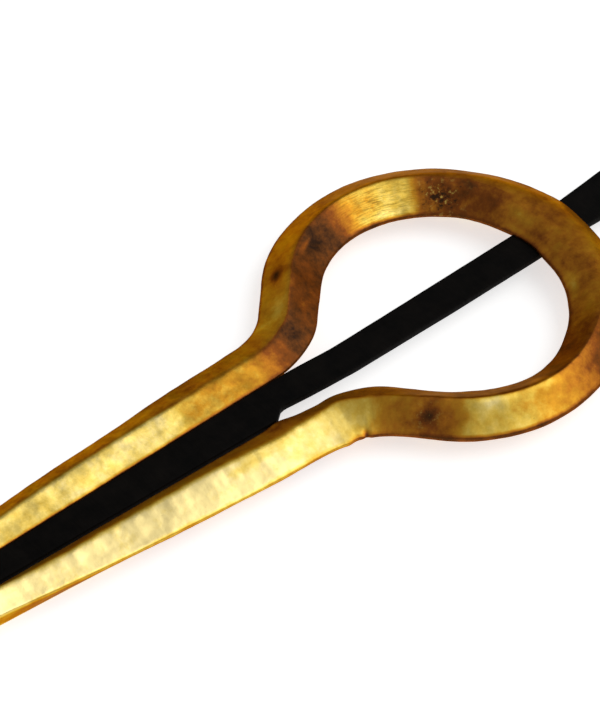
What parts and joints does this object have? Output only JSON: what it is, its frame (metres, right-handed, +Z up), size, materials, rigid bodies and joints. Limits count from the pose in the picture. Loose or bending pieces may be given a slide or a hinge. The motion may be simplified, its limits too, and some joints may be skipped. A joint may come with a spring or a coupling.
{
  "type": "jaw harp",
  "caption": "Forged jaw harp: a keyhole-shaped brass bar whose tapering arms flank a springy black steel tongue with an upturned trigger.",
  "frame": {"origin": "bottom centre of the box round the whole harp as it lies on its back", "axes": "+X along the tongue from the trigger to the tail, +Z up out of the front face, +Y across the arms"},
  "size_m": [0.0912, 0.0318, 0.0129],
  "materials": {
    "frame_brass": "forged and filed, worn bright on the ridges, brown patina in the bends",
    "key_brass": "filed, dull",
    "tongue_steel": "matt black oil finish"
  },
  "bodies": {
    "harp_frame": {"frame": "frame_brass", "key": "key_brass", "tongue_root": "tongue_steel"},
    "free_tongue": {"tongue": "tongue_steel"}
  },
  "joints": [
    {"name": "tongue_flex", "type": "hinge", "parent": "harp_frame", "child": "free_tongue", "pos_m": [0.01987, 0, 0.002], "axis": [0, 1, 0], "range_deg": [-8, 8], "stiffness_Nm_per_rad": 0.5}
  ]
}
